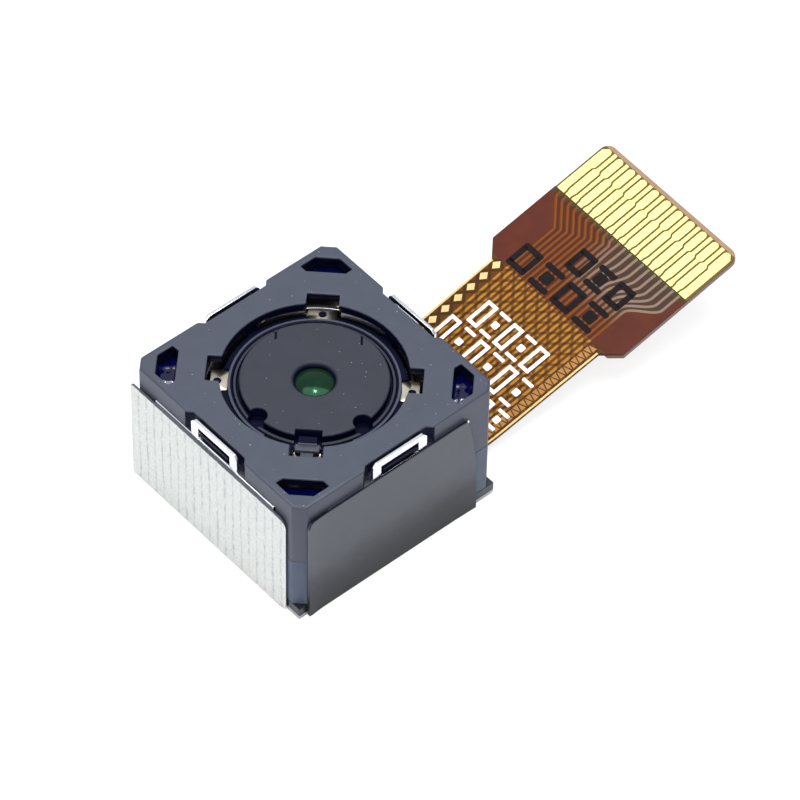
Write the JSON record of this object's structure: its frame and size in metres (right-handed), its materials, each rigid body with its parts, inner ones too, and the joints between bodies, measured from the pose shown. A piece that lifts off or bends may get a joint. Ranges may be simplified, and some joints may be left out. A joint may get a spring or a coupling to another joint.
{
  "type": "camera module",
  "caption": "Square autofocus camera head on a small rigid board, with a voice-coil focus motor, a stacked lens barrel and a flexible printed tail that ends in staggered gold contacts.",
  "frame": {"origin": "centre of the square head's footprint on the underside of its steel plate", "axes": "+Z is the optical axis, out of the lens; +Y points the way that the flexible tail leaves the head; +X is the side that carries the black film, and -Y the side with the ribbed silver tape"},
  "size_m": [0.0087, 0.0206, 0.0054],
  "materials": {
    "cover_plastic": "moulded glass-filled black polymer, satin",
    "carrier_plastic": "moulded dark grey polymer, satin",
    "barrel_plastic": "moulded black polymer, low gloss",
    "shield_film": "black carbon-loaded film, matt",
    "yoke_steel": "stamped and plated soft iron, bright",
    "plate_steel": "rolled stainless sheet",
    "spring_metal": "etched copper alloy, plated",
    "tinned_metal": "tinned",
    "magnet_plating": "nickel plated sintered magnet",
    "copper_wire": "enamelled copper wire",
    "board_mask": "glass-epoxy board under dark solder mask",
    "silicon": "polished silicon die",
    "gold_wire": "gold bond wire",
    "capacitor_ceramic": "ceramic with tinned ends",
    "chip_resin": "moulded epoxy",
    "filter_glass": "infrared cut-off glass, polished",
    "lens_plastic": "coated optical polymer",
    "silver_cloth": "ribbed conductive cloth tape, silver plated",
    "black_film": "thin black polyester film, satin",
    "base_film": "amber polyimide film with copper traces",
    "coverlay_film": "amber polyimide coverlay",
    "tail_stiffener": "dark maroon polyimide stiffener",
    "contact_gold": "gold plated copper, pale"
  },
  "bodies": {
    "module_body": {"top_cover": "cover_plastic", "base_housing": "cover_plastic", "spring_frame": "carrier_plastic", "yoke": "yoke_steel", "stiffener_plate": "plate_steel", "lower_spring_front": "spring_metal", "lower_spring_back": "spring_metal", "upper_spring": "spring_metal", "coil_terminals": "tinned_metal", "solder_joints": "tinned_metal", "magnet_front": "magnet_plating", "magnet_back": "magnet_plating", "magnet_left": "magnet_plating", "magnet_right": "magnet_plating", "circuit_board": "board_mask", "image_sensor": "silicon", "bond_wires": "gold_wire", "capacitors": "capacitor_ceramic", "driver_chip": "chip_resin", "ir_filter": "filter_glass", "silver_tape": "silver_cloth", "black_film": "black_film", "flex_cable": "base_film", "coverlay": "coverlay_film", "contact_stiffener": "tail_stiffener", "contact_fingers": "contact_gold"},
    "focus_group": {"lens_carrier": "carrier_plastic", "coil": "copper_wire", "lens_barrel": "barrel_plastic", "lens_1": "lens_plastic", "light_shield_1": "shield_film", "lens_2": "lens_plastic", "light_shield_2": "shield_film", "lens_3": "lens_plastic", "spacer_ring": "barrel_plastic", "lens_4": "lens_plastic", "lens_retainer": "barrel_plastic"}
  },
  "joints": [
    {"name": "autofocus_slide", "type": "slide", "parent": "module_body", "child": "focus_group", "axis": [0, 0, 1], "range_m": [0, 0.00022], "stiffness_N_per_m": 30, "springref_m": -0.0001, "deforming": ["upper_spring", "lower_spring_front", "lower_spring_back"]}
  ]
}
